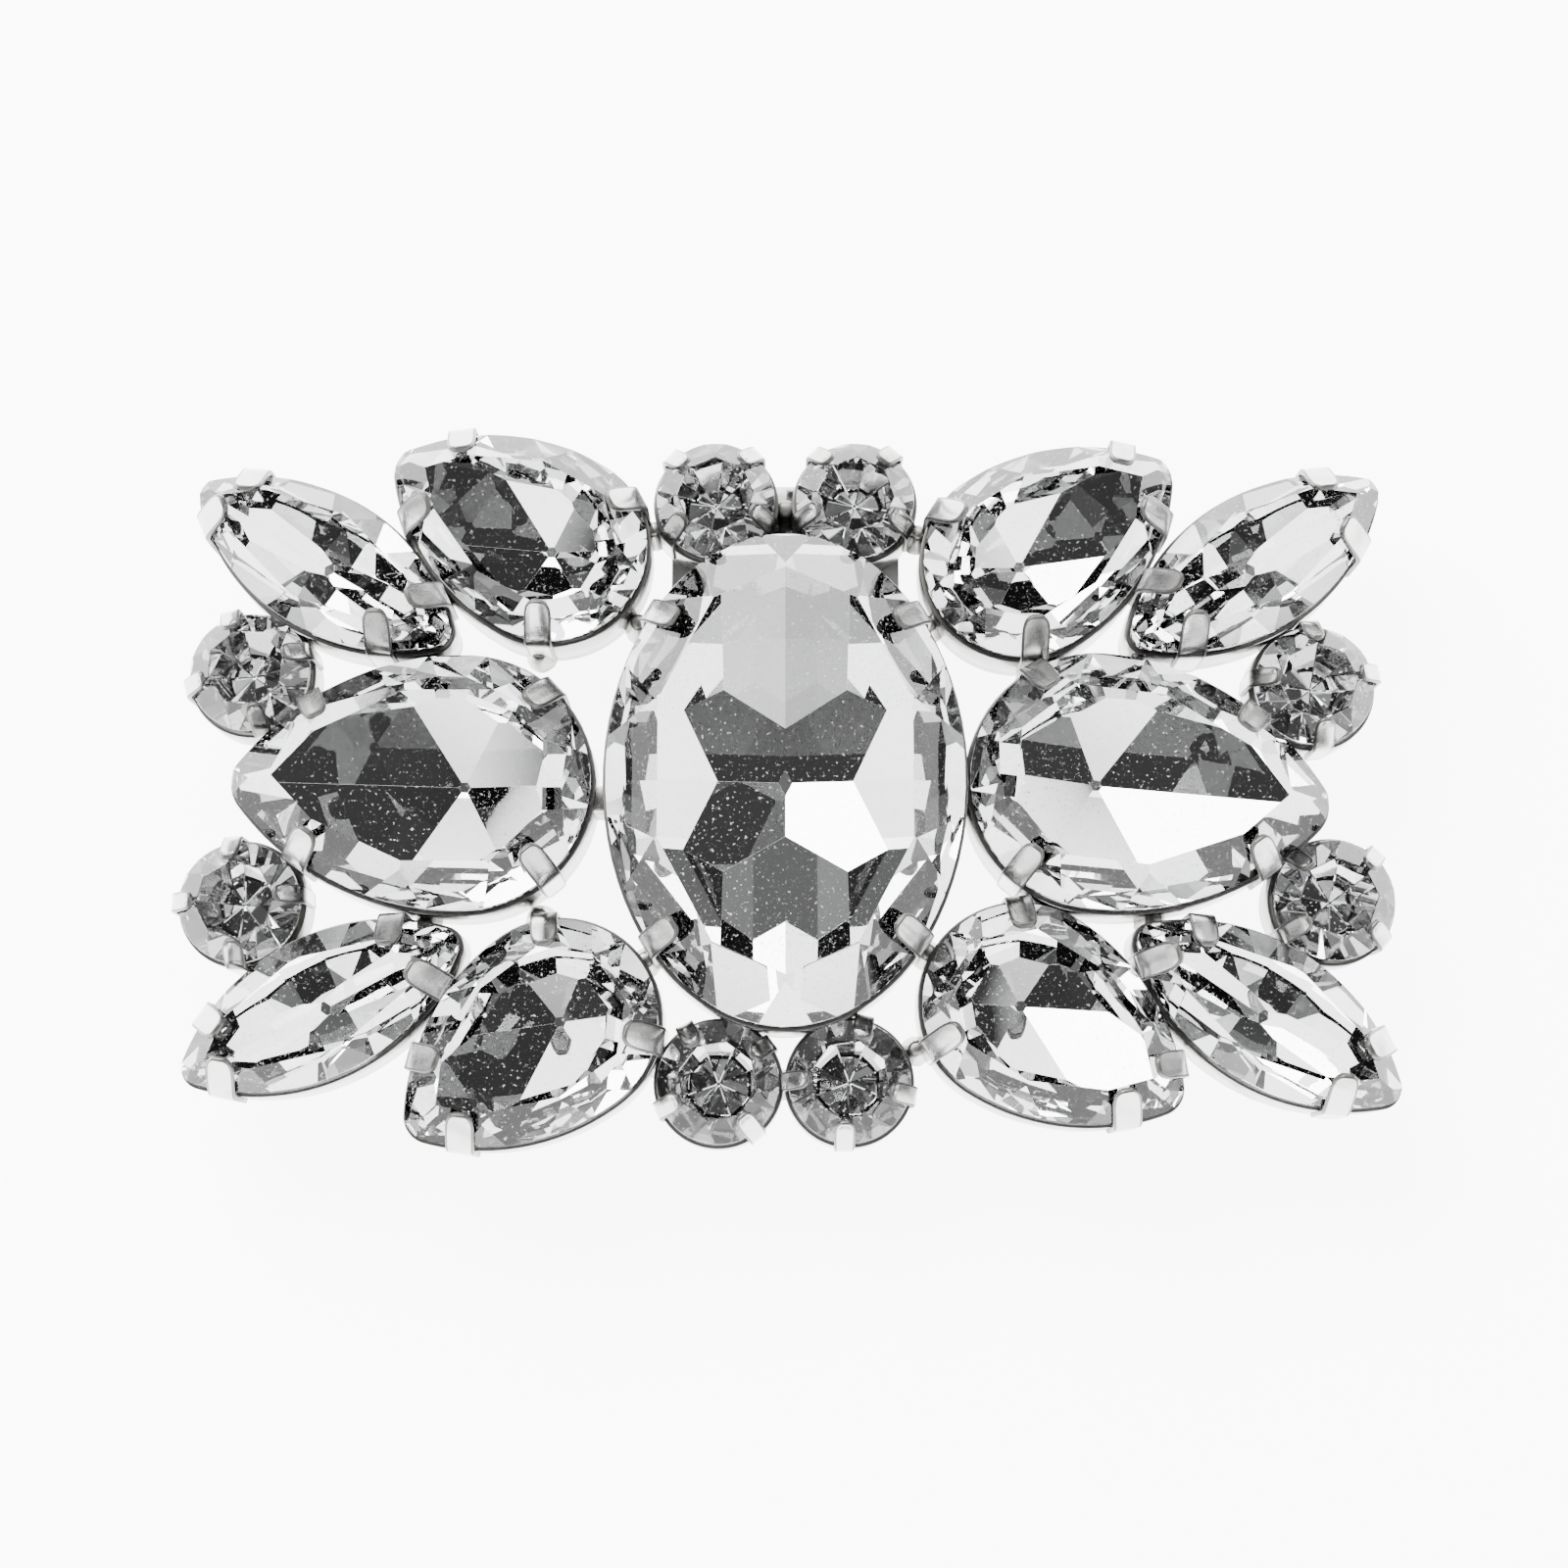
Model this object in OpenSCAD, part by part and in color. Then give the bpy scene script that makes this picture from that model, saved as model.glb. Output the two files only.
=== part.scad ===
// Rhinestone shoe buckle: nineteen foil-backed stones in soldered claw settings, with a clip at the back.
// Millimetres, stones facing +Z, the clip's underside on z = 0, the long side along X.

/* [Oval stone] */
// Width across
oval_w = 18; // [17:0.5:20]
// Length, upright
oval_l = 25; // [24:0.5:27]
// Height of the crown above the girdle's middle
oval_crown = 2.6; // [2:0.1:3]
// Depth of the pavilion below the girdle's middle
oval_pavilion = 4.2; // [3.8:0.1:4.8]

/* [Large pear stones] */
// Width across
large_w = 13; // [12:0.5:14]
// Length to the point
large_l = 18; // [17.5:0.5:19]
// Radius of the blunt point
large_tip = 1.6; // [1:0.1:2]
// Height of the crown
large_crown = 2.2; // [1.6:0.1:2.6]
// Depth of the pavilion
large_pavilion = 3.7; // [3.3:0.1:4.2]

/* [Pear stones] */
// Width across
pear_w = 10; // [9:0.5:10.5]
// Length to the point
pear_l = 14; // [13.5:0.5:14.5]
// Radius of the blunt point
pear_tip = 1.2; // [0.8:0.1:1.5]
// Height of the crown
pear_crown = 1.9; // [1.4:0.1:2.2]
// Depth of the pavilion
pear_pavilion = 3.3; // [3:0.1:3.8]

/* [Navette stones] */
// Width across
navette_w = 7; // [6:0.5:7.5]
// Length from point to point
navette_l = 15; // [14:0.5:15.5]
// Radius of the blunt points
navette_tip = 0.9; // [0.7:0.1:1.2]
// Height of the crown
navette_crown = 1.6; // [1.3:0.1:1.9]
// Depth of the pavilion
navette_pavilion = 3.1; // [2.8:0.1:3.4]

/* [Round stones] */
// Diameter
round_d = 6.1; // [5.6:0.1:6.3]
// Height of the crown
round_crown = 1.4; // [1.1:0.1:1.7]
// Depth of the pavilion
round_pavilion = 2.4; // [2.2:0.1:2.8]

/* [Cut] */
// Thickness of each stone's edge, the girdle
girdle_t = 0.4; // [0.3:0.05:0.6]
// Flat left at the bottom point of a stone, as height cut off
culet_cut = 0.08; // [0.05:0.01:0.15]

/* [Cups] */
// How far a cup's wall stands out beyond its stone
wall_out = 0.12; // [0.1:0.01:0.16]
// How far the wall reaches in below the stone
wall_in = 0.3; // [0.25:0.05:0.5]
// Drop from the girdle's underside to the top of the wall
seat_drop = 0.5; // [0.45:0.05:0.7]
// Thickness of a cup's floor
floor_t = 0.45; // [0.4:0.05:0.8]
// Gap between the floor and a stone's bottom point
culet_gap = 0.15; // [0.1:0.05:0.3]
// Share of a stone's half width that is open in the floor
floor_hole = 0.33; // [0.26:0.01:0.34]
// Clearance round a small stone where it tucks under a larger one
tuck_gap = 0.08; // [0.06:0.01:0.12]

/* [Claws] */
// Width of a claw on the larger stones
claw_w = 1.3; // [1:0.1:1.6]
// Width of a claw on the round stones
round_claw_w = 0.95; // [0.8:0.05:1.2]
// Thickness of the claws' sheet
claw_t = 0.32; // [0.28:0.02:0.4]
// How far a claw folds in over the larger stones
claw_reach = 1.35; // [1:0.05:1.7]
// How far a claw folds in over the round stones
round_claw_reach = 1.0; // [0.8:0.05:1.2]
// How much steeper a claw lies than the crown below it
claw_steeper = 1; // [0:0.5:4]
// Height of the fold above the girdle
claw_lift = 0.14; // [0.12:0.02:0.3]
// Gap between a claw and its stone's edge
claw_gap = 0.07; // [0.06:0.01:0.08]

/* [Solder] */
// Height of the solder heaps
solder_h = 2; // [1.2:0.1:2.4]
// Radius of a heap's foot
solder_r = 0.95; // [0.8:0.05:1.2]
// How far the solder stops above the cups' undersides
heap_up = 0.12; // [0.1:0.02:0.3]
// Length of the strut between the oval and the left large pear
strut_w = 2.4; // [1.8:0.1:3]
// Radius of the hollow in each side of the strut
strut_hollow = 1.3; // [1:0.1:1.6]

/* [Clip] */
// Thickness of the clip's sheet
clip_t = 0.8; // [0.6:0.1:1]
// Open height inside the clip
clip_slot = 1.4; // [1.2:0.1:2]
// Width of the clip
clip_w = 12; // [10:0.5:13]
// Height of the bend's middle line above the oval's centre
clip_bend_y = 15.4; // [15:0.1:15.8]
// Length of the fastened leaf
clip_leaf = 22; // [18:1:26]
// Length of the loose tongue
clip_tongue = 23; // [18:1:26]
// Height of the ridge that grips
clip_ridge = 0.45; // [0.3:0.05:0.6]
// Width of the window beside the bend
window_w = 2.6; // [2:0.1:3]
// Length of the window
window_l = 1.6; // [1.2:0.1:2]
// Gap filled by glue between the clip and the cups
glue_gap = 0.15; // [0.1:0.05:0.3]

/* [Hidden] */
back_z = 2 * clip_t + clip_slot + glue_gap;
side_x = oval_w / 2;
end_y = oval_l / 2;
pear_y = large_w / 2;
navette_x = side_x + 0.3 * large_l + 0.6 * navette_l;
round_x = side_x + 0.6 * large_l + navette_l / 2;
large_reach = large_l - large_w / 2;
pear_reach = pear_l - pear_w / 2;
big = 60;
edge = girdle_t / 2;

// Each stone: name, cut, place of its middle (a pear's is the middle of its round end), turn of its
// point from +X, and the directions from that middle in which its four claws stand.
// Places are taken from the oval's edges and the large pears' edges, as the stones lie against them.
stones = [
    ["oval_stone", "oval", [0, 0], 0, [50.7, 128.7, 231.8, 308.7]],
    ["left_large_pear", "large_pear", [-side_x - 0.8 - large_w / 2, -0.2], 180, [45.9, 151, 206, 312.6]],
    ["right_large_pear", "large_pear", [side_x + 0.3 + large_w / 2, -0.1], -7, [23.5, 119.9, 228.5, 331.5]],
    ["top_left_pear", "pear", [-side_x - 3.1, end_y - 0.3], 150, [27.1, 128.1, 170.7, 264.9]],
    ["top_right_pear", "pear", [side_x + 3.1, end_y - 1.1], 33, [14.2, 48.2, 150, 276]],
    ["bottom_left_pear", "pear", [-side_x - 2.3, -end_y + 0.4], -143, [97.8, 194.7, 233.2, 348]],
    ["bottom_right_pear", "pear", [side_x + 2.8, -end_y + 1.2], -32, [92, 206, 310.6, 338.6]],
    ["top_left_navette", "navette", [-navette_x - 0.2, pear_y + 4.8], 148, [127.8, 162.3, 303.3, 343]],
    ["top_right_navette", "navette", [navette_x + 0.65, pear_y + 4.8], 33, [7.4, 55.5, 191, 233.5]],
    ["bottom_left_navette", "navette", [-navette_x + 0.3, -pear_y - 4.9], -153, [9.5, 50.8, 185.6, 222.1]],
    ["bottom_right_navette", "navette", [navette_x + 0.6, -pear_y - 5.3], -33, [125, 158.5, 304, 346.8]],
    ["top_left_round", "round", [-0.4 * side_x, end_y + 2.3], 136.4, [48.4, 136.4, 220.6, 333.4]],
    ["top_right_round", "round", [0.4 * side_x, end_y + 2.3], 131, [50.4, 131, 202.5, 328.6]],
    ["bottom_left_round", "round", [-0.4 * side_x + 0.25, -end_y - 2.65], 121.3, [36.9, 121.3, 205.6, 306.6]],
    ["bottom_right_round", "round", [0.4 * side_x - 0.4, -end_y - 2.6], 76.5, [76.5, 180, 264.7, 346.5]],
    ["left_upper_round", "round", [-round_x - 0.05, pear_y - 0.8], 109.2, [18.6, 109.2, 197, 284.4]],
    ["left_lower_round", "round", [-round_x - 0.15, -pear_y + 0.35], 96.9, [7.1, 96.9, 181, 270]],
    ["right_upper_round", "round", [round_x - 0.3, pear_y - 1.5], 93.5, [9.7, 93.5, 174.1, 275]],
    ["right_lower_round", "round", [round_x + 0.32, -pear_y + 0.48], 47.1, [47.1, 134.2, 214.5, 317.9]]
];

// Where the oval's centre lies from the middle of the whole.
middle = [0.07, 0.17];

function row(name) = [for (s = stones) if (s[0] == name) s][0];
function dir(a) = [cos(a), sin(a)];
function arc(c, r, a0, a1, n) = [for (i = [0 : n - 1]) c + r * dir(a0 + (a1 - a0) * i / n)];

// Outlines, each as points round the stone, grown by off.
function oval_line(off) = [for (i = [0 : 59]) let (t = 6 * i, x = oval_w / 2 * cos(t), y = oval_l / 2 * sin(t),
    n = [oval_l * cos(t), oval_w * sin(t)]) [x, y] + off * n / norm(n)];
function flank(reach, half, tip) = ((reach - tip) * (reach - tip) + half * half - tip * tip) / (2 * (half - tip));
function pear_line(half, reach, tip, off) = let (c = reach - tip, r = flank(reach, half, tip), k = r - half,
    e = atan2(k, c)) concat(arc([0, -k], r + off, e, 90, 12), arc([0, 0], half + off, 90, 270, 26),
    arc([0, k], r + off, 270, 360 - e, 12), arc([c, 0], tip + off, -e, e, 8));
function navette_line(reach, half, tip, off) = let (c = reach - tip, r = flank(reach, half, tip), k = r - half,
    e = atan2(k, c)) concat(arc([0, -k], r + off, e, 180 - e, 18), arc([-c, 0], tip + off, 180 - e, 180 + e, 8),
    arc([0, k], r + off, 180 + e, 360 - e, 18), arc([c, 0], tip + off, -e, e, 8));
function line(cut, off) = cut == "oval" ? oval_line(off)
    : cut == "large_pear" ? pear_line(large_w / 2, large_reach, large_tip, off)
    : cut == "pear" ? pear_line(pear_w / 2, pear_reach, pear_tip, off)
    : cut == "navette" ? navette_line(navette_l / 2, navette_w / 2, navette_tip, off)
    : arc([0, 0], round_d / 2 + off, 0, 360, 48);

// How far the outline reaches in direction a, and where a ray in direction a meets it.
function reach(cut, a) = cut == "round" ? round_d / 2 : max([for (p = line(cut, 0)) p * dir(a)]);
function side(u, p) = u[0] * p[1] - u[1] * p[0];
function hit(pts, a) = let (u = dir(a), n = len(pts)) [for (i = [0 : n - 1]) let (p = pts[i], q = pts[(i + 1) % n])
    if (side(u, p) <= 0 && side(u, q) > 0 && p * u > 0)
    [p + (q - p) * side(u, p) / (side(u, p) - side(u, q)), atan2(q[1] - p[1], q[0] - p[0]) - 90]][0];

function crown(cut) = cut == "oval" ? oval_crown : cut == "large_pear" ? large_crown
    : cut == "pear" ? pear_crown : cut == "navette" ? navette_crown : round_crown;
function pavilion(cut) = cut == "oval" ? oval_pavilion : cut == "large_pear" ? large_pavilion
    : cut == "pear" ? pear_pavilion : cut == "navette" ? navette_pavilion : round_pavilion;
function half_w(cut) = cut == "oval" ? oval_w / 2 : cut == "large_pear" ? large_w / 2
    : cut == "pear" ? pear_w / 2 : cut == "navette" ? navette_w / 2 : round_d / 2;

// Directions of the crown's facets: those whose top is a side of the table and those whose top is a corner.
function table_sides(cut) = cut == "oval" ? [0, 28, 66, 114, 152, 180, 208, 246, 294, 332]
    : cut == "navette" ? [50, 76, 104, 130, 230, 256, 284, 310]
    : cut == "round" ? [for (i = [0 : 7]) 45 * i + 22.5]
    : [43, 65, 90, 135, 180, 225, 270, 295, 317];
function table_corners(cut) = cut == "oval" ? [13, 45, 90, 135, 167, 193, 225, 270, 315, 347]
    : cut == "navette" ? [0, 62, 90, 118, 180, 242, 270, 298]
    : cut == "round" ? [for (i = [0 : 7]) 45 * i]
    : [0, 54, 76, 112, 157, 203, 248, 284, 306];
// Below the girdle: direction and slope of the large facets, and how far out a plane reaches the girdle's
// level. Those of bottoms() meet at the bottom of the stone.
function at_girdle(cut, angles, slope) = [for (a = angles) [a, slope, reach(cut, a)]];
function mains(cut) = cut == "oval" ? concat([for (a = [10, 170, 190, 350]) [a, 19, side_x + 3.8]],
        at_girdle(cut, [80, 100, 260, 280], 20.8), at_girdle(cut, [46, 134, 226, 314], 27))
    : cut == "navette" ? concat(at_girdle(cut, [50, 76, 90, 104, 130, 230, 256, 270, 284, 310], 42),
        at_girdle(cut, [0, 180], 30))
    : cut == "round" ? at_girdle(cut, [for (i = [0 : 7]) 45 * i], 41)
    : at_girdle(cut, [0, 43, 65, 112, 135, 180, 225, 248, 295, 317], 42);
function bottoms(cut) = cut == "oval" ? [[28, 152, 208, 332], 14]
    : cut == "large_pear" ? [[30, 85, 150, 210, 275, 330], 17]
    : cut == "pear" ? [[0, 55, 120, 180, 240, 305], 17]
    : cut == "navette" ? [[30, 150, 210, 330], 18]
    : [[for (i = [0 : 7]) 45 * i + 12], 38];

// Share of the half width that a crown facet takes up, and the slope of the small facets under the girdle.
function crown_run(cut) = cut == "round" ? 0.4 : cut == "navette" ? 0.37 : cut == "oval" ? 0.3 : 0.34;
under_slope = 46;

function rise(cut) = crown(cut) - edge;
function drop(cut) = pavilion(cut) - edge;
function side_slope(cut) = atan2(rise(cut), crown_run(cut) * half_w(cut));
function corner_slope(cut) = atan2(rise(cut), 0.84 * crown_run(cut) * half_w(cut));
function girdle_z(cut) = back_z + floor_t + culet_gap + pavilion(cut);

// Everything on the stone's side of a facet that starts r from the middle at the girdle's upper (up = 1)
// or lower (up = -1) edge and slopes by s towards the middle.
module facet(a, s, r, up) {
    rotate([0, 0, a])
        translate([r, 0, up * edge])
            rotate([0, -up * (90 - s), 0])
                translate([-big, -big / 2, -big / 2])
                    cube(big);
}

module blank(cut) {
    h = crown(cut) + pavilion(cut) - culet_cut;
    translate([0, 0, culet_cut - pavilion(cut)]) {
        if (cut == "round") {
            cylinder(r = round_d / 2, h = h, $fn = 64);
        } else {
            linear_extrude(h) polygon(line(cut, 0));
        }
    }
}

// A cut stone about the middle of its girdle, point along +X.
module cut_stone(cut) {
    intersection() {
        blank(cut);
        intersection_for (a = table_sides(cut)) {
            facet(a, side_slope(cut), reach(cut, a), 1);
        }
        intersection_for (a = table_corners(cut)) {
            facet(a, corner_slope(cut), reach(cut, a), 1);
        }
        intersection_for (a = concat(table_sides(cut), table_corners(cut))) {
            facet(a, under_slope, reach(cut, a), -1);
        }
        intersection_for (m = mains(cut)) {
            facet(m[0], m[1], m[2], -1);
        }
        intersection_for (a = bottoms(cut)[0]) {
            facet(a, bottoms(cut)[1], drop(cut) / tan(bottoms(cut)[1]), -1);
        }
    }
}

module at_place(s) {
    translate([s[2][0] + middle[0], s[2][1] + middle[1], 0])
        rotate([0, 0, s[3]])
            children();
}

module set_stone(name) {
    s = row(name);
    at_place(s)
        translate([0, 0, girdle_z(s[1])])
            cut_stone(s[1]);
}

// The upright sheet cup below a stone, with an opening in its floor.
module cup(s) {
    cut = s[1];
    top = girdle_z(cut) - edge - seat_drop;
    difference() {
        at_place(s)
            translate([0, 0, back_z])
                cup_block(cut, wall_out, top - back_z);
        at_place(s)
            translate([0, 0, back_z + floor_t])
                cup_block(cut, -wall_in, big);
        at_place(s)
            translate([0, 0, back_z - 1])
                cylinder(r = half_w(cut) * floor_hole, h = floor_t + 2, $fn = 48);
        if (cut == "oval") {
            for (r = stones) {
                if (r[1] == "round" && abs(r[2][1]) > end_y) {
                    at_place(r)
                        translate([0, 0, girdle_z("round") - edge - 1.2])
                            cylinder(r = round_d / 2 + tuck_gap, h = 6, $fn = 48);
                }
            }
        }
    }
}

module cup_block(cut, off, h) {
    if (cut == "round") {
        cylinder(r = round_d / 2 + off, h = h, $fn = 64);
    } else {
        linear_extrude(h) polygon(line(cut, off));
    }
}

// One claw: a leg up the outside of the cup and a tongue folded over the crown, with a round tip.
module claw(cut, a) {
    p = hit(line(cut, 0), a);
    w = cut == "round" ? round_claw_w : claw_w;
    l = cut == "round" ? round_claw_reach : claw_reach;
    foot = back_z + 0.5 - girdle_z(cut);
    slope = corner_slope(cut) + claw_steeper;
    up = [-cos(slope), sin(slope)];
    out = [sin(slope), cos(slope)];
    start = [claw_gap, edge + claw_lift];
    far = start + up * (l + claw_gap) / cos(slope);
    translate([p[0][0], p[0][1], 0]) {
        rotate([0, 0, p[1]]) {
            intersection() {
                translate([0, w / 2, 0])
                    rotate([90, 0, 0])
                        linear_extrude(w)
                            polygon([[claw_gap, foot], start, far, far + claw_t * out,
                                start + claw_t * out, [claw_gap + claw_t, edge], [claw_gap + claw_t, foot]]);
                translate([0, 0, foot - 1]) {
                    union() {
                        translate([w / 2 - l, 0, 0])
                            cylinder(d = w, h = 12, $fn = 32);
                        translate([w / 2 - l, -w / 2, 0])
                            cube([l + 2, w, 12]);
                    }
                }
            }
        }
    }
}

module claws(s) {
    at_place(s)
        translate([0, 0, girdle_z(s[1])])
            for (a = s[4]) {
                claw(s[1], a - s[3]);
            }
}

// Solder heaps where neighbouring cups meet: the two stones, and the heap's place from the point that is
// halfway between their outlines on the line of their middles.
heaps = [
    ["oval_stone", "right_large_pear", [-0.2, 0.06]],
    ["oval_stone", "top_left_pear", [0.33, 0.6]],
    ["oval_stone", "top_right_pear", [-0.55, 1.01]],
    ["oval_stone", "bottom_left_pear", [0.41, -0.86]],
    ["oval_stone", "bottom_right_pear", [-0.6, -1.03]],
    ["oval_stone", "top_left_round", [0.98, 0.66]],
    ["oval_stone", "top_right_round", [-0.98, 0.66]],
    ["oval_stone", "bottom_left_round", [0.17, -0.14]],
    ["oval_stone", "bottom_right_round", [-0.25, -0.15]],
    ["top_left_round", "top_right_round", [0, -0.1]],
    ["bottom_left_round", "bottom_right_round", [-0.13, 0.02]],
    ["left_large_pear", "top_left_navette", [2.21, 0.33]],
    ["left_large_pear", "bottom_left_navette", [1.93, -0.42]],
    ["right_large_pear", "top_right_pear", [-0.12, -0.06]],
    ["right_large_pear", "bottom_right_pear", [-0.05, 0.01]],
    ["right_large_pear", "top_right_navette", [-2.29, 0.29]],
    ["right_large_pear", "bottom_right_navette", [-1.73, -0.19]],
    ["left_large_pear", "left_upper_round", [-0.83, -0.81]],
    ["left_large_pear", "left_lower_round", [-0.88, 0.83]],
    ["right_large_pear", "right_upper_round", [0.8, -0.79]],
    ["right_large_pear", "right_lower_round", [0.67, 1.02]],
    ["left_large_pear", "top_left_pear", [1.26, 0.39]],
    ["left_large_pear", "bottom_left_pear", [1.01, 0.14]],
    ["top_left_pear", "top_left_navette", [0.42, -0.58]],
    ["top_right_pear", "top_right_navette", [-0.29, -0.54]],
    ["bottom_left_pear", "bottom_left_navette", [0.63, 0.82]],
    ["bottom_right_pear", "bottom_right_navette", [-0.24, 0.48]],
    ["top_left_pear", "top_left_round", [0.02, -0.18]],
    ["top_right_pear", "top_right_round", [-0.04, -0.06]],
    ["bottom_left_pear", "bottom_left_round", [-0.08, -0.03]],
    ["bottom_right_pear", "bottom_right_round", [-0.01, 0.19]],
    ["top_left_navette", "left_upper_round", [0, -0.01]],
    ["top_right_navette", "right_upper_round", [-0.22, -0.14]],
    ["bottom_left_navette", "left_lower_round", [-0.36, -0.22]],
    ["bottom_right_navette", "right_lower_round", [-0.53, 0.32]]
];

function edge_reach(s, a) = norm(hit(line(s[1], 0), a - s[3])[0]);
function towards(a, b) = atan2(b[2][1] - a[2][1], b[2][0] - a[2][0]);
function gap(a, b) = norm(b[2] - a[2]) - edge_reach(a, towards(a, b)) - edge_reach(b, towards(b, a));
function heap_at(a, b) = a[2] + (edge_reach(a, towards(a, b)) + gap(a, b) / 2) * dir(towards(a, b));

module solder() {
    for (h = heaps) {
        a = row(h[0]);
        b = row(h[1]);
        p = heap_at(a, b) + h[2] + middle;
        r = max(solder_r, gap(a, b) / 2);
        translate([p[0], p[1], back_z + heap_up])
            cylinder(r1 = r, r2 = r * 0.5, h = solder_h, $fn = 24);
    }
}

// The strut seen between the oval and the left large pear, hollowed from both sides.
module strut() {
    x = -side_x - 0.4;
    translate([x + middle[0], middle[1] - 0.8, back_z + heap_up]) {
        difference() {
            translate([-0.9, -strut_w / 2, 0])
                cube([1.8, strut_w, 3]);
            for (m = [-1, 1]) {
                translate([0, m * (strut_w / 2 + strut_hollow * 0.75), -1])
                    cylinder(r = strut_hollow, h = 5, $fn = 32);
            }
        }
    }
}

module oval_stone() {
    color("white") set_stone("oval_stone");
}

module left_large_pear() {
    color("white") set_stone("left_large_pear");
}

module right_large_pear() {
    color("white") set_stone("right_large_pear");
}

module top_left_pear() {
    color("white") set_stone("top_left_pear");
}

module top_right_pear() {
    color("white") set_stone("top_right_pear");
}

module bottom_left_pear() {
    color("white") set_stone("bottom_left_pear");
}

module bottom_right_pear() {
    color("white") set_stone("bottom_right_pear");
}

module top_left_navette() {
    color("white") set_stone("top_left_navette");
}

module top_right_navette() {
    color("white") set_stone("top_right_navette");
}

module bottom_left_navette() {
    color("white") set_stone("bottom_left_navette");
}

module bottom_right_navette() {
    color("white") set_stone("bottom_right_navette");
}

module top_left_round() {
    color("white") set_stone("top_left_round");
}

module top_right_round() {
    color("white") set_stone("top_right_round");
}

module bottom_left_round() {
    color("white") set_stone("bottom_left_round");
}

module bottom_right_round() {
    color("white") set_stone("bottom_right_round");
}

module left_upper_round() {
    color("white") set_stone("left_upper_round");
}

module left_lower_round() {
    color("white") set_stone("left_lower_round");
}

module right_upper_round() {
    color("white") set_stone("right_upper_round");
}

module right_lower_round() {
    color("white") set_stone("right_lower_round");
}

module setting_frame() {
    color("silver") {
        union() {
            for (s = stones) {
                cup(s);
                claws(s);
            }
            solder();
            strut();
        }
    }
}

module shoe_clip() {
    h = 2 * clip_t + clip_slot;
    color("gainsboro")
        translate([middle[0], clip_bend_y + middle[1], 0]) {
            difference() {
                union() {
                    translate([-clip_w / 2, -clip_leaf, h - clip_t])
                        cube([clip_w, clip_leaf, clip_t]);
                    translate([-clip_w / 2, -clip_tongue, 0])
                        cube([clip_w, clip_tongue, clip_t]);
                    intersection() {
                        difference() {
                            translate([-clip_w / 2, 0, h / 2])
                                rotate([0, 90, 0])
                                    cylinder(d = h, h = clip_w, $fn = 48);
                            translate([-clip_w, 0, h / 2])
                                rotate([0, 90, 0])
                                    cylinder(d = clip_slot, h = 2 * clip_w, $fn = 48);
                        }
                        translate([-clip_w, -0.01, -1])
                            cube([2 * clip_w, h, h + 2]);
                    }
                    translate([-clip_w / 2, -clip_tongue + 3, clip_t])
                        rotate([0, 90, 0])
                            cylinder(r = clip_ridge, h = clip_w, $fn = 24);
                }
                translate([0.1, -window_l, clip_t + clip_slot / 2])
                    cube([window_w, window_l + 0.7, h]);
            }
        }
}

oval_stone();
left_large_pear();
right_large_pear();
top_left_pear();
top_right_pear();
bottom_left_pear();
bottom_right_pear();
top_left_navette();
top_right_navette();
bottom_left_navette();
bottom_right_navette();
top_left_round();
top_right_round();
bottom_left_round();
bottom_right_round();
left_upper_round();
left_lower_round();
right_upper_round();
right_lower_round();
setting_frame();
shoe_clip();
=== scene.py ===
import math
import random

import bpy
import bmesh
from mathutils import Matrix, Vector


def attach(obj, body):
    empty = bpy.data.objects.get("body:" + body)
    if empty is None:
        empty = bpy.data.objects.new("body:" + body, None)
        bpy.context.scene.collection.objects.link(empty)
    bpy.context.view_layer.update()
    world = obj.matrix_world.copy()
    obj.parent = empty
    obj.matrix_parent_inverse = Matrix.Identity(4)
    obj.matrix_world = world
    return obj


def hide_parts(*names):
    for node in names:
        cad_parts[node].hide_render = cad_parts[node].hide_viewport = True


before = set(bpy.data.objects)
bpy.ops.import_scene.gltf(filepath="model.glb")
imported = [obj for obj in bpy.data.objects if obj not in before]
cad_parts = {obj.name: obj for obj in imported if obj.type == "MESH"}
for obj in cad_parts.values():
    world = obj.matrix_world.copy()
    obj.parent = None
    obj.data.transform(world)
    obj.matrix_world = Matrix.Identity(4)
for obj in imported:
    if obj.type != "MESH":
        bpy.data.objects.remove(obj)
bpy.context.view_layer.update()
bpy.ops.object.select_all(action="DESELECT")
mm = 0.001
rng = random.Random(7)

# The buckle lies on its clip, stones up, long side along X.
layout = {
    "middle": (0.07, 0.17),   # where the oval's centre lies
    "backZ": 3.15,            # underside of the cups
    "floor": 0.45,            # a cup's floor in the CAD model
    "culetGap": 0.15,         # from that floor up to the bottom of a stone
}

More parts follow.
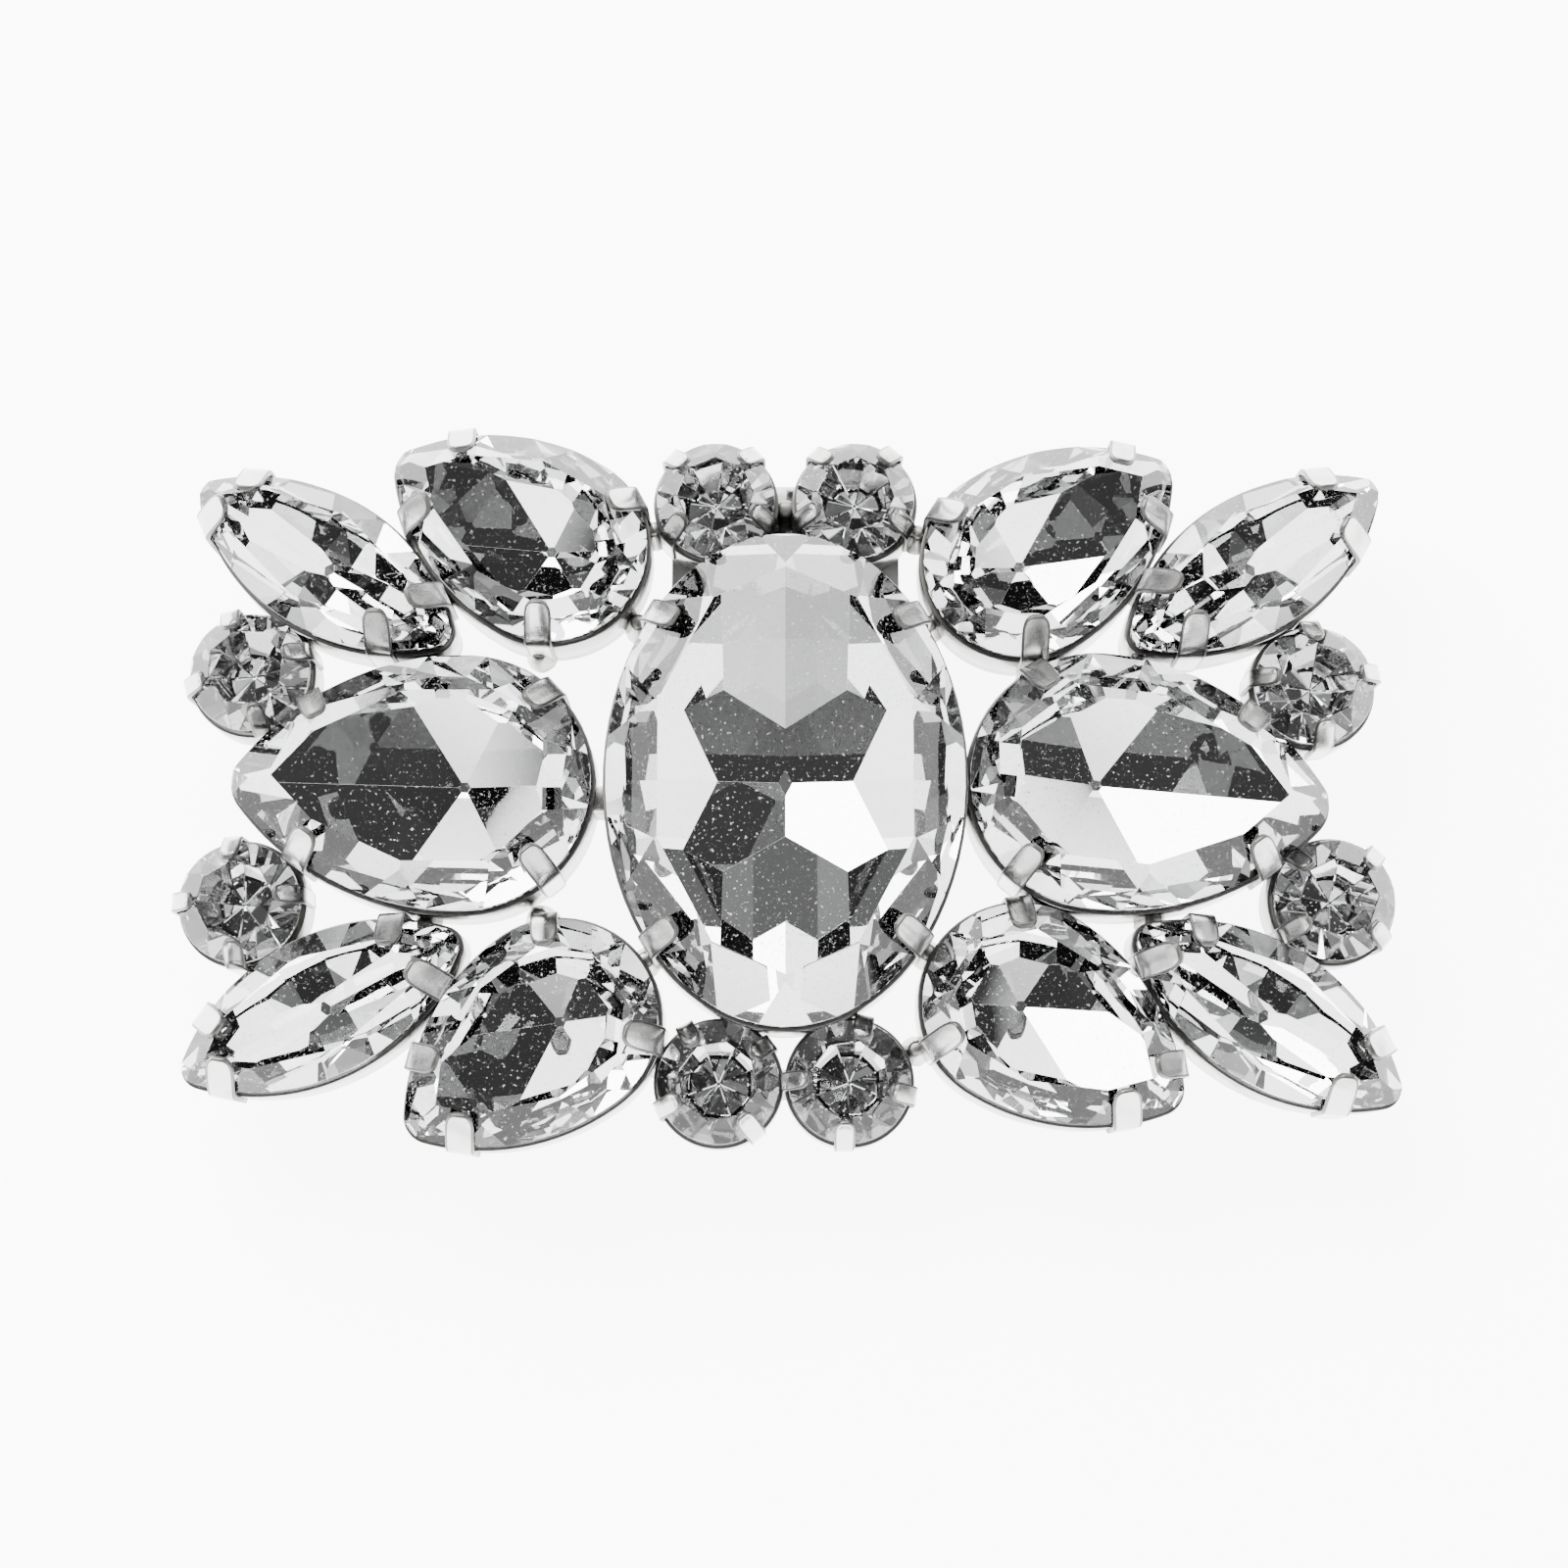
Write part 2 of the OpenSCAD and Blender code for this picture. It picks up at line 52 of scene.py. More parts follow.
# Sizes of each cut in millimetres. A pear's reach is from the middle of its round end to its tip,
# "tip" is the radius of its point and "run" the width of a crown facet against half the stone's.
# "mains" are the large facets below the girdle and "centre" those that meet at the bottom: the
# direction, the slope and, where a facet doesn't start at the girdle, how far out its plane would
# reach the girdle's level.
pearRing = [(a, 42) for a in (0, 43, 65, 112, 135, 180, 225, 248, 295, 317)]
cuts = {
    "oval": {"half": 9, "reach": 12.5, "tip": 0, "crown": 2.6, "pavilion": 4.2, "run": 0.3,
             "tableSides": [0, 28, 66, 114, 152, 180, 208, 246, 294, 332],
             "tableCorners": [13, 45, 90, 135, 167, 193, 225, 270, 315, 347],
             "mains": [(a, 19, 12.8) for a in (10, 170, 190, 350)]
             + [(a, 20.8) for a in (80, 100, 260, 280)] + [(a, 27) for a in (46, 134, 226, 314)],
             "centre": [(a, 14) for a in (28, 152, 208, 332)]},
    "largePear": {"half": 6.5, "reach": 11.5, "tip": 1.6, "crown": 2.2, "pavilion": 3.7,
                  "run": 0.34, "mains": pearRing,
                  "centre": [(a, 17) for a in (30, 85, 150, 210, 275, 330)]},
    "pear": {"half": 5, "reach": 9, "tip": 1.2, "crown": 1.9, "pavilion": 3.3,
             "run": 0.34, "mains": pearRing,
             "centre": [(a, 17) for a in (0, 55, 120, 180, 240, 305)]},
    "navette": {"half": 3.5, "reach": 7.5, "tip": 0.9, "crown": 1.6, "pavilion": 3.1, "run": 0.37,
                "tableSides": [50, 76, 104, 130, 230, 256, 284, 310],
                "tableCorners": [0, 62, 90, 118, 180, 242, 270, 298],
                "mains": [(a, 42) for a in (50, 76, 90, 104, 130, 230, 256, 270, 284, 310)]
                + [(0, 30), (180, 30)],
                "centre": [(a, 18) for a in (30, 150, 210, 330)]},
    "round": {"half": 3.05, "reach": 3.05, "tip": 0, "crown": 1.4, "pavilion": 2.4, "run": 0.4,
              "tableSides": [45 * i + 22.5 for i in range(8)],
              "tableCorners": [45 * i for i in range(8)],
              "mains": [(45 * i, 41) for i in range(8)],
              "centre": [(45 * i + 12, 38) for i in range(8)]},
}
for name in ("largePear", "pear"):
    cuts[name].update(tableSides=[43, 65, 90, 135, 180, 225, 270, 295, 317],
                      tableCorners=[0, 54, 76, 112, 157, 203, 248, 284, 306])

# Each stone: its node, cut and place, the turn of its point from +X, the directions of its claws.
stones = [
    ("oval_stone", "oval", (0, 0), 0, (50.7, 128.7, 231.8, 308.7)),
    ("left_large_pear", "largePear", (-16.3, -0.2), 180, (45.9, 151, 206, 312.6)),
    ("right_large_pear", "largePear", (15.8, -0.1), -7, (23.5, 119.9, 228.5, 331.5)),
    ("top_left_pear", "pear", (-12.1, 12.2), 150, (27.1, 128.1, 170.7, 264.9)),
    ("top_right_pear", "pear", (12.1, 11.4), 33, (14.2, 48.2, 150, 276)),
    ("bottom_left_pear", "pear", (-11.3, -12.1), -143, (97.8, 194.7, 233.2, 348)),
    ("bottom_right_pear", "pear", (11.8, -11.3), -32, (92, 206, 310.6, 338.6)),
    ("top_left_navette", "navette", (-23.6, 11.3), 148, (127.8, 162.3, 303.3, 343)),
    ("top_right_navette", "navette", (24.05, 11.3), 33, (7.4, 55.5, 191, 233.5)),
    ("bottom_left_navette", "navette", (-23.1, -11.4), -153, (9.5, 50.8, 185.6, 222.1)),
    ("bottom_right_navette", "navette", (24, -11.8), -33, (125, 158.5, 304, 346.8)),
    ("top_left_round", "round", (-3.6, 14.8), 136.4, (48.4, 136.4, 220.6, 333.4)),
    ("top_right_round", "round", (3.6, 14.8), 131, (50.4, 131, 202.5, 328.6)),
    ("bottom_left_round", "round", (-3.35, -15.15), 121.3, (36.9, 121.3, 205.6, 306.6)),
    ("bottom_right_round", "round", (3.2, -15.1), 76.5, (76.5, 180, 264.7, 346.5)),
    ("left_upper_round", "round", (-27.35, 5.7), 109.2, (18.6, 109.2, 197, 284.4)),
    ("left_lower_round", "round", (-27.45, -6.15), 96.9, (7.1, 96.9, 181, 270)),
    ("right_upper_round", "round", (27, 5), 93.5, (9.7, 93.5, 174.1, 275)),
    ("right_lower_round", "round", (27.62, -6.02), 47.1, (47.1, 134.2, 214.5, 317.9)),
]
girdle = 0.4   # thickness of every stone's edge


def girdleZ(cut):
    return layout["backZ"] + layout["floor"] + layout["culetGap"] + cuts[cut]["pavilion"]


def pieceName(node):
    # top_left_pear becomes topLeftPear
    first, *rest = node.split("_")
    return first + "".join(word.capitalize() for word in rest)


class Value:
    # a socket in one node tree, with the operators that the materials use
    def __init__(self, tree, socket):
        self.tree, self.socket = tree, socket

    def math(self, operation, first, second):
        node = self.tree.nodes.new("ShaderNodeMath")
        node.operation = operation
        for socket, item in zip(node.inputs, (first, second)):
            if isinstance(item, Value):
                self.tree.links.new(item.socket, socket)
            else:
                socket.default_value = item
        return Value(self.tree, node.outputs[0])

    def __add__(self, other):
        return self.math("ADD", self, other)

    def __radd__(self, other):
        return self.math("ADD", other, self)

    def __rsub__(self, other):
        return self.math("SUBTRACT", other, self)

    def __mul__(self, other):
        return self.math("MULTIPLY", self, other)


class Finish:
    # a material and the one way to add a node to it
    def __init__(self, name):
        self.material = bpy.data.materials.new(name)
        self.material.use_nodes = True
        self.tree = self.material.node_tree
        self.tree.nodes.clear()
        self.output = self.tree.nodes.new("ShaderNodeOutputMaterial")
        self.spot = self.node("ShaderNodeTexCoord", {}, {}, "Object")

    def node(self, kind, settings, sockets, out=0):
        made = self.tree.nodes.new(kind)
        for key, item in settings.items():
            setattr(made, key, item)
        for key, item in sockets.items():
            socket = made.inputs[key]
            if isinstance(item, Value):
                self.tree.links.new(item.socket, socket)
            else:
                socket.default_value = item
        return Value(self.tree, made.outputs[out])

    def noise(self, scale, detail=3, roughness=0.55, distortion=0.0, where=None):
        return self.node("ShaderNodeTexNoise", {}, {"Vector": where or self.spot, "Scale": scale,
                                                    "Detail": detail, "Roughness": roughness,
                                                    "Distortion": distortion}, "Fac")

    def stretched(self, x, y, z, turn=0.0):
        return self.node("ShaderNodeMapping", {}, {"Vector": self.spot, "Rotation": (0, 0, turn),
                                                   "Scale": (x, y, z)})

    def step(self, value, low, high):
        # 0 below the low value, 1 above the high one
        return self.node("ShaderNodeMapRange", {"clamp": True}, {"Value": value, "From Min": low,
                                                                 "From Max": high})

    def blendColour(self, mask, first, second):
        return self.node("ShaderNodeMix", {"data_type": "RGBA"}, {0: mask, 6: first, 7: second}, 2)

    def bump(self, height, strength, distance):
        return self.node("ShaderNodeBump", {}, {"Height": height, "Strength": strength,
                                                "Distance": distance}, "Normal")

    def surface(self, **sockets):
        named = {key.replace("_", " "): item for key, item in sockets.items()}
        return self.node("ShaderNodeBsdfPrincipled", {}, named)

    def done(self, shader):
        self.tree.links.new(shader.socket, self.output.inputs["Surface"])
        return self.material


glassLook = {
    "tint": (0.965, 0.97, 0.97, 1),
    "greyTint": (0.52, 0.52, 0.525, 1),   # of the small round stones
    "ior": 1.53,
    "rough": 0.003,    # a clear polish
    "scratchRough": 0.05,
    "dust": 0.55,      # how strongly settled dust shows
    "dustTone": (0.72, 0.72, 0.71, 1),
}


def makeGlass(name, tint):
    f = Finish(name)
    scratches = f.noise(900, 2, 0.7, 0.4, f.stretched(1, 9, 1, 0.7))
    scratchMask = f.step(scratches, 0.66, 0.72)
    specks = f.step(f.noise(5600, 1, 0.4), 0.67, 0.72)
    cloud = f.step(f.noise(180, 3), 0.42, 0.64)
    rough = glassLook["rough"] + scratchMask * glassLook["scratchRough"] + specks * 0.03
    clear = f.surface(Base_Color=tint, Roughness=rough, IOR=glassLook["ior"],
                      Transmission_Weight=1.0, Normal=f.bump(f.noise(300, 2), 0.02, 0.00002))
    dusty = f.surface(Base_Color=glassLook["dustTone"], Roughness=0.85)
    mask = specks * (0.25 + cloud * 0.75) * glassLook["dust"]
    return f.done(f.node("ShaderNodeMixShader", {}, {0: mask, 1: clear, 2: dusty}))


foilLook = {
    "silver": (0.93, 0.935, 0.94, 1),
    "worn": (0.34, 0.34, 0.33, 1),
    "rough": 0.003,
}


def makeFoil():
    f = Finish("silverFoil")
    grain = f.noise(6500, 2, 0.65)
    specks = f.step(grain, 0.62, 0.68)
    patches = f.step(f.noise(160, 4, 0.6), 0.58, 0.76)
    colour = f.blendColour(specks * 0.30 + patches * 0.12, foilLook["silver"], foilLook["worn"])
    rough = foilLook["rough"] + specks * 0.10 + patches * 0.03
    return f.done(f.surface(Base_Color=colour, Metallic=1.0, Roughness=rough,
                            Normal=f.bump(f.noise(420, 3, 0.6), 0.015, 0.00003)))


# Each metal finish: its tone, how rough it is and how far it has tarnished.
platingLook = {
    # the claws' copy of the plating, lighter than the cups' copy: painted highlight
    "litSilverPlating": ((0.42, 0.42, 0.413, 1), 0.17, 0.55),
    # the cups' copy of the same plating, darker: painted shade on the cup walls
    "shadedCupPlating": ((0.29, 0.29, 0.285, 1), 0.20, 0.7),
    # dark edge material for the rims of cups and claws and the claws' border: painted shade
    # standing in for contact shadows
    "wornEdgeAndPaintedShade": ((0.10, 0.098, 0.094, 1), 0.30, 0.8),
    "solder": ((0.34, 0.335, 0.32, 1), 0.28, 0.8),
    "clipSteel": ((0.36, 0.36, 0.355, 1), 0.30, 0.6),
}
tarnishTone = (0.05, 0.047, 0.042, 1)


def makePlating(name):
    f = Finish(name)
    tone, rough, tarnish = platingLook[name]
    broad = f.noise(260, 4, 0.6, 0.5)
    fine = f.noise(2400, 3, 0.6)
    dirty = f.step(broad, 0.50, 0.72) * tarnish + f.step(fine, 0.62, 0.78) * 0.25
    colour = f.blendColour(dirty, tone, tarnishTone)
    lines = f.noise(700, 2, 0.6, 0.2, f.stretched(1, 7, 1, 0.4))
    height = broad * 0.6 + fine * 0.25 + lines * 0.15
    return f.done(f.surface(Base_Color=colour, Metallic=1.0,
                            Roughness=rough + dirty * 0.25 + fine * 0.06,
                            Normal=f.bump(height, 0.35, 0.00006)))


floorLook = {"tone": (0.93, 0.93, 0.93, 1), "shade": (0.90, 0.90, 0.90, 1), "glow": 7.0}


def makeFloor():
    f = Finish("paleFloor")
    colour = f.blendColour(f.noise(60, 3) * 0.3, floorLook["tone"], floorLook["shade"])
    return f.done(f.surface(Base_Color=colour, Roughness=0.75, Emission_Color=(1, 1, 1, 1),
                            Emission_Strength=floorLook["glow"]))


glass, foil = makeGlass("cutGlass", glassLook["tint"]), makeFoil()
greyGlass = makeGlass("greyGlass", glassLook["greyTint"])
plating = makePlating("litSilverPlating")
shadedCupPlating = makePlating("shadedCupPlating")
# the dark edge material: painted shade along the rims of cups and claws
wornEdgeAndPaintedShade = makePlating("wornEdgeAndPaintedShade")
solderFinish = makePlating("solder")
clipFinish = makePlating("clipSteel")
print("materials made")


def active():
    return bpy.context.view_layer.objects.active


def select(obj):
    bpy.ops.object.select_all(action="DESELECT")
    obj.select_set(True)
    bpy.context.view_layer.objects.active = obj


def edit(obj):
    select(obj)
    bpy.ops.object.mode_set(mode="EDIT")


def leave():
    bpy.ops.object.mode_set(mode="OBJECT")


def pick(kind, test):
    # selects in edit mode what passes the test, by its middle and its normal
    mesh = active().data
    form = bmesh.from_edit_mesh(mesh)
    bpy.ops.mesh.select_all(action="DESELECT")
    for item in {"face": form.faces, "edge": form.edges, "vert": form.verts}[kind]:
        if kind == "face":
            chosen = test(item.calc_center_median() / mm, item.normal)
        elif kind == "edge":
            chosen = test((item.verts[0].co + item.verts[1].co) / 2 / mm, item)
        else:
            chosen = test(item.co / mm, item)
        if chosen:
            item.select_set(True)
    form.select_flush_mode()
    bmesh.update_edit_mesh(mesh)


def useModifier(obj, kind, **settings):
    select(obj)
    modifier = obj.modifiers.new(kind.lower(), kind)
    for key, item in settings.items():
        setattr(modifier, key, item)
    bpy.ops.object.modifier_apply(modifier=modifier.name)


def bisect(point, normal):
    # cuts off what lies beyond a plane and closes the cut
    bpy.ops.mesh.select_all(action="SELECT")
    bpy.ops.mesh.bisect(plane_co=Vector(point) * mm, plane_no=normal, use_fill=True,
                        clear_outer=True, threshold=1e-7)


def applyPlace(obj):
    select(obj)
    bpy.ops.object.transform_apply(location=True, rotation=True, scale=True)


def copyOf(obj, name):
    # a copy with its own mesh
    made = obj.copy()
    made.data = obj.data.copy()
    made.name = made.data.name = name
    bpy.context.collection.objects.link(made)
    return made


def stand(obj, place, turn, height=0.0):
    # puts a finished piece at its stone's place and lets the mesh keep it
    x, y = place[0] + layout["middle"][0], place[1] + layout["middle"][1]
    shift = Matrix.Translation(Vector((x, y, height)) * mm)
    obj.data.transform(shift @ Matrix.Rotation(math.radians(turn), 4, "Z"))
    return obj


def join(pieces, name):
    bpy.ops.object.select_all(action="DESELECT")
    for piece in pieces:
        piece.select_set(True)
    bpy.context.view_layer.objects.active = pieces[0]
    bpy.ops.object.join()
    pieces[0].name = pieces[0].data.name = name
    return pieces[0]


def finishPiece(obj, slot, *nodes):
    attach(obj, "root")
    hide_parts(*nodes)


def flank(c):
    # radius of the long arc beside a tip, how far its centre lies beyond the axis, and where the
    # tip begins
    long = c["reach"] - c["tip"]
    radius = (long * long + c["half"] ** 2 - c["tip"] ** 2) / (2 * (c["half"] - c["tip"]))
    return radius, radius - c["half"], math.degrees(math.atan2(radius - c["half"], long))


def support(cut, angle):
    # how far the outline reaches in a direction
    c = cuts[cut]
    angle = (angle + 180) % 360 - 180
    a = math.radians(angle)
    if cut == "round":
        return c["half"]
    if cut == "oval":
        return math.hypot(c["half"] * math.cos(a), c["reach"] * math.sin(a))
    radius, offset, begin = flank(c)
    if cut != "navette" and abs(angle) >= 90:
        return c["half"]
    if min(abs(angle), 180 - abs(angle)) < begin:
        return (c["reach"] - c["tip"]) * abs(math.cos(a)) + c["tip"]
    return radius - offset * abs(math.sin(a))


def rim(cut):
    # directions of the flats that make up the outline: closer where it curves less
    if cut == "round":
        return [5 * i for i in range(72)]
    if cut == "oval":
        return [4 * i for i in range(90)]
    begin = flank(cuts[cut])[2]
    ends = [0] if cut != "navette" else [0, 180]
    angles = []
    for end in ends:
        angles += [end + begin * k / 5 for k in range(-5, 6)]
    span = 90 if cut != "navette" else 180 - begin
    for side in (-1, 1):
        count = round((span - begin) / 3.2)
        angles += [side * (begin + (span - begin) * k / count) for k in range(1, count)]
    if cut != "navette":
        angles += [90 + 6 * k for k in range(31)]
    return angles


def outline(cut, grow, low, high):
    # a block with the stone's outline, cut flat by flat from a cube
    bpy.ops.mesh.primitive_cube_add(size=1, location=(0, 0, (low + high) / 2 * mm))
    bpy.ops.transform.resize(value=(blankSize * mm, blankSize * mm, (high - low) * mm))
    block = active()
    applyPlace(block)
    edit(block)
    for angle in rim(cut):
        a = math.radians(angle)
        d = support(cut, angle) + grow
        bisect((d * math.cos(a), d * math.sin(a), 0), (math.cos(a), math.sin(a), 0))
    return block


def facet(angle, slope, reach, up):
    # cuts one facet that starts at the girdle's edge and slopes to the middle
    a = math.radians(angle)
    outwards = (math.cos(a) * math.sin(slope), math.sin(a) * math.sin(slope), up * math.cos(slope))
    bisect((reach * math.cos(a), reach * math.sin(a), up * girdle / 2), outwards)


facetLook = {
    "belowGirdle": 46,     # slope of the small facets under the girdle
    "cornerRun": 0.84,     # width of a facet at a corner of the table, against one at its side
    "culet": 0.08,         # how much of the bottom point is ground away
    "wornEdgeAndPaintedShade": 0.035,
    "foiled": -0.12,       # faces that look further down than this carry the foil
}
blankSize = 60   # of the block that each outline is cut from


def makeStone(cut):
    c = cuts[cut]
    stone = outline(cut, 0, facetLook["culet"] - c["pavilion"], c["crown"])
    rise, drop = c["crown"] - girdle / 2, c["pavilion"] - girdle / 2
    run = c["run"] * c["half"]
    for angle in c["tableSides"]:
        facet(angle, math.atan2(rise, run), support(cut, angle), 1)
    for angle in c["tableCorners"]:
        facet(angle, math.atan2(rise, facetLook["cornerRun"] * run), support(cut, angle), 1)
    for angle in c["tableSides"] + c["tableCorners"]:
        facet(angle, math.radians(facetLook["belowGirdle"]), support(cut, angle), -1)
    for angle, slope, *reach in c["mains"]:
        facet(angle, math.radians(slope), reach[0] if reach else support(cut, angle), -1)
    for angle, slope in c["centre"]:
        facet(angle, math.radians(slope), drop / math.tan(math.radians(slope)), -1)
    bpy.ops.mesh.select_all(action="SELECT")
    bpy.ops.mesh.remove_doubles(threshold=1e-6)
    bpy.ops.mesh.dissolve_limited(angle_limit=math.radians(0.3))
    bpy.ops.mesh.normals_make_consistent(inside=False)
    leave()
    useModifier(stone, "BEVEL", width=facetLook["wornEdgeAndPaintedShade"] * mm, segments=1,
                limit_method="ANGLE", angle_limit=math.radians(6))
    stone.data.materials.append(greyGlass if cut == "round" else glass)
    stone.data.materials.append(foil)
    for face in stone.data.polygons:
        face.use_smooth = False
        face.material_index = 1 if face.normal.z < facetLook["foiled"] else 0
    return stone


stoneForms = {cut: makeStone(cut) for cut in cuts}
for node, cut, place, turn, claws in stones:
    stone = stand(copyOf(stoneForms[cut], pieceName(node)), place, turn, girdleZ(cut))
    finishPiece(stone, "stone", node)
print("stones cut:", {cut: len(form.data.polygons) for cut, form in stoneForms.items()})


# a setting is a sheet cup and four folded claws
cupLook = {
    "out": 0.2,      # how far its wall stands outside the stone
    "sheet": 0.34,
    "below": 0.42,   # from the girdle down to its rim
    "ledge": 0.536,  # floor left round the opening, against half the stone's width
}


def makeCup(cut):
    c = cuts[cut]
    base = layout["backZ"] - girdleZ(cut)
    top = -girdle / 2 - cupLook["below"]
    cup = outline(cut, cupLook["out"], base, top)
    pick("face", lambda middle, normal: normal.z > 0.9)
    bpy.ops.mesh.delete(type="FACE")
    pick("face", lambda middle, normal: normal.z < -0.9)
    bpy.ops.mesh.inset(thickness=cupLook["ledge"] * c["half"] * mm, depth=0)
    bpy.ops.mesh.delete(type="FACE")
    pick("face", lambda middle, normal: abs(normal.z) < 0.5)
    bpy.ops.mesh.subdivide(number_cuts=1)
    bpy.ops.mesh.select_all(action="SELECT")
    bpy.ops.mesh.normals_make_consistent(inside=False)
    leave()
    # the darker copy of the plating: painted shade on the cup
    cup.data.materials.append(shadedCupPlating)
    cup.data.materials.append(wornEdgeAndPaintedShade)
    # the rims take the second, dark material: painted shade along the cup's edges
    useModifier(cup, "SOLIDIFY", thickness=cupLook["sheet"] * mm, offset=-1, material_offset_rim=1)
    useModifier(cup, "BEVEL", width=0.06 * mm, segments=2, limit_method="ANGLE",
                angle_limit=math.radians(50))
    select(cup)
    bpy.ops.object.shade_smooth_by_angle(angle=math.radians(35))
    return cup


clawLook = {
    "large": {"width": 1.42, "sheet": 0.32, "reach": 1.5},
    "small": {"width": 1.0, "sheet": 0.28, "reach": 1.05},
    "gap": 0.07, "lift": 0.14, "steeper": 1,
    "border": 0.13, "doming": 0.12,
    "foot": 0.5,    # how far above the cup's back the leg begins
    "folded": (0.16, 0.4, 0.62, 0.8, 0.93, 1.0),   # rows along the part that lies on the stone
    "short": 0.12,  # what the rounded end leaves out
    "tip": (0.42, 0.78, 0.95),   # share of the width in the last rows, from the end
}


def makeClaw(cut):
    # a strip pulled up beside the stone's edge, which is the origin, and folded in along -X
    c = cuts[cut]
    k = clawLook["small" if cut == "round" else "large"]
    slope = math.atan2(c["crown"] - girdle / 2, facetLook["cornerRun"] * c["run"] * c["half"])
    slope += math.radians(clawLook["steeper"])
    foot = layout["backZ"] + clawLook["foot"] - girdleZ(cut)
    bend = girdle / 2 + clawLook["lift"]
    x = clawLook["gap"] + k["sheet"] / 2
    half = k["width"] / 2
    # the leg and the fold, then the part on the stone
    path = [(x, foot), (x, -0.5), (x, bend - 0.25), (x - 0.02, bend + 0.02)]
    length = (k["reach"] + x) / math.cos(slope)
    lift = k["sheet"] / 2 * 1.05
    start = (x - lift * 0.2, bend + lift * 0.9)
    for share in clawLook["folded"]:
        far = share * (length - clawLook["short"])
        path.append((start[0] - far * math.cos(slope), start[1] + far * math.sin(slope)))
    bpy.ops.mesh.primitive_plane_add(size=1, location=(0, 0, 0))
    strip = active()
    edit(strip)
    # the plane becomes one edge across the strip, drawn along the path
    pick("vert", lambda place, vert: place.x > 0)
    bpy.ops.mesh.delete(type="VERT")
    bpy.ops.mesh.select_all(action="SELECT")
    form = bmesh.from_edit_mesh(strip.data)
    for vert, side in zip(form.verts, (-1, 1)):
        vert.co = Vector((path[0][0], side * half, path[0][1])) * mm
    bmesh.update_edit_mesh(strip.data)
    bpy.ops.mesh.subdivide(number_cuts=3)
    bpy.ops.mesh.select_all(action="SELECT")
    for before, after in zip(path, path[1:]):
        step = Vector((after[0] - before[0], 0, after[1] - before[1])) * mm
        bpy.ops.mesh.extrude_region_move(TRANSFORM_OT_translate={"value": step})
    # the tip is rounded and the strip is a little domed across, as it comes off a punch
    widths = {len(path) - 1 - i: share for i, share in enumerate(clawLook["tip"])}
    form = bmesh.from_edit_mesh(strip.data)
    for vert in form.verts:
        spot = (vert.co.x / mm, vert.co.z / mm)
        near = min(range(len(path)), key=lambda i: math.dist(spot, path[i]))
        vert.co.y *= widths.get(near, 1)
        if near >= len(path) - len(clawLook["folded"]):
            vert.co.z += clawLook["doming"] * mm * (1 - (vert.co.y / mm / half) ** 2)
    bmesh.update_edit_mesh(strip.data)
    bpy.ops.mesh.select_all(action="SELECT")
    bpy.ops.mesh.normals_make_consistent(inside=False)
    # a narrow border all round gets the dark edge material: painted shade, the dark outline where
    # the claw meets the stone
    bpy.ops.mesh.inset(thickness=clawLook["border"] * mm, depth=0, use_boundary=True)
    form = bmesh.from_edit_mesh(strip.data)
    for face in form.faces:
        face.material_index = 0 if face.select else 1
    bmesh.update_edit_mesh(strip.data)
    leave()
    # the lighter copy of the plating: painted highlight on the claw
    strip.data.materials.append(plating)
    strip.data.materials.append(wornEdgeAndPaintedShade)
    # the rims take the second, dark material: painted shade along the claw's edges
    useModifier(strip, "SOLIDIFY", thickness=k["sheet"] * mm, offset=0, material_offset_rim=1)
    useModifier(strip, "SUBSURF", levels=2, render_levels=2)
    select(strip)
    bpy.ops.object.shade_smooth()
    return strip


def edgePoint(cut, angle):
    # where a ray from the stone's middle meets its outline, and which way the outline faces there
    best = None
    for normal in rim(cut):
        n = math.radians(normal)
        lean = math.cos(n - math.radians(angle))
        if lean > 0.2:
            far = support(cut, normal) / lean
            if best is None or far < best[0]:
                best = (far, normal)
    a = math.radians(angle)
    return (best[0] * math.cos(a), best[0] * math.sin(a)), best[1]


clawForms = {cut: makeClaw(cut) for cut in cuts}
cupForms = {cut: makeCup(cut) for cut in cuts}
for node, cut, place, turn, claws in stones:
    name = pieceName(node)
    parts = [copyOf(cupForms[cut], name + "Cup")]
    for angle in claws:
        claw = copyOf(clawForms[cut], name + "Claw")
        point, outwards = edgePoint(cut, angle - turn)
        twist = outwards + rng.uniform(-4, 4)
        size = Matrix.Diagonal((1, rng.uniform(0.93, 1.05), 1, 1))
        claw.data.transform(Matrix.Translation(Vector((*point, 0)) * mm)
                            @ Matrix.Rotation(math.radians(twist), 4, "Z") @ size)
        parts.append(claw)
    setting = stand(join(parts, name + "Setting"), place, turn, girdleZ(cut))
    finishPiece(setting, "setting", "setting_frame")
print("settings made:", {cut: len(form.data.polygons) for cut, form in clawForms.items()})


# solder between the cups
solderLook = {
    "heaps": [
        (8.95, 0), (-7.6, 8.6), (7.4, 8.5), (-7.1, -8.9), (7.2, -8.5),
        (-1.9, 12.5), (1.9, 12.5), (-2.5, -12.2), (2.3, -12.2), (0, 14.7), (-0.2, -15.1),
        (-18.2, 6.6), (-18.3, -7.1), (13.6, 6.3), (13.5, -6.4), (18, 6.4), (18.7, -6.9),
        (-25.2, 3.3), (-25.3, -3.7), (24.7, 2.8), (25.3, -3.5), (-12.7, 7.1), (-12.5, -6.7),
        (-18.3, 11.1), (18.6, 10.8), (-17.1, -10.9), (18.5, -11.1), (-6.9, 13.6), (6.9, 13.4),
        (-6.5, -14), (6.6, -13.4), (-25.6, 8.3), (25.4, 7.8), (-25.8, -8.8), (25.4, -8.4),
    ],
    "radius": 0.95, "height": 2.0,
}


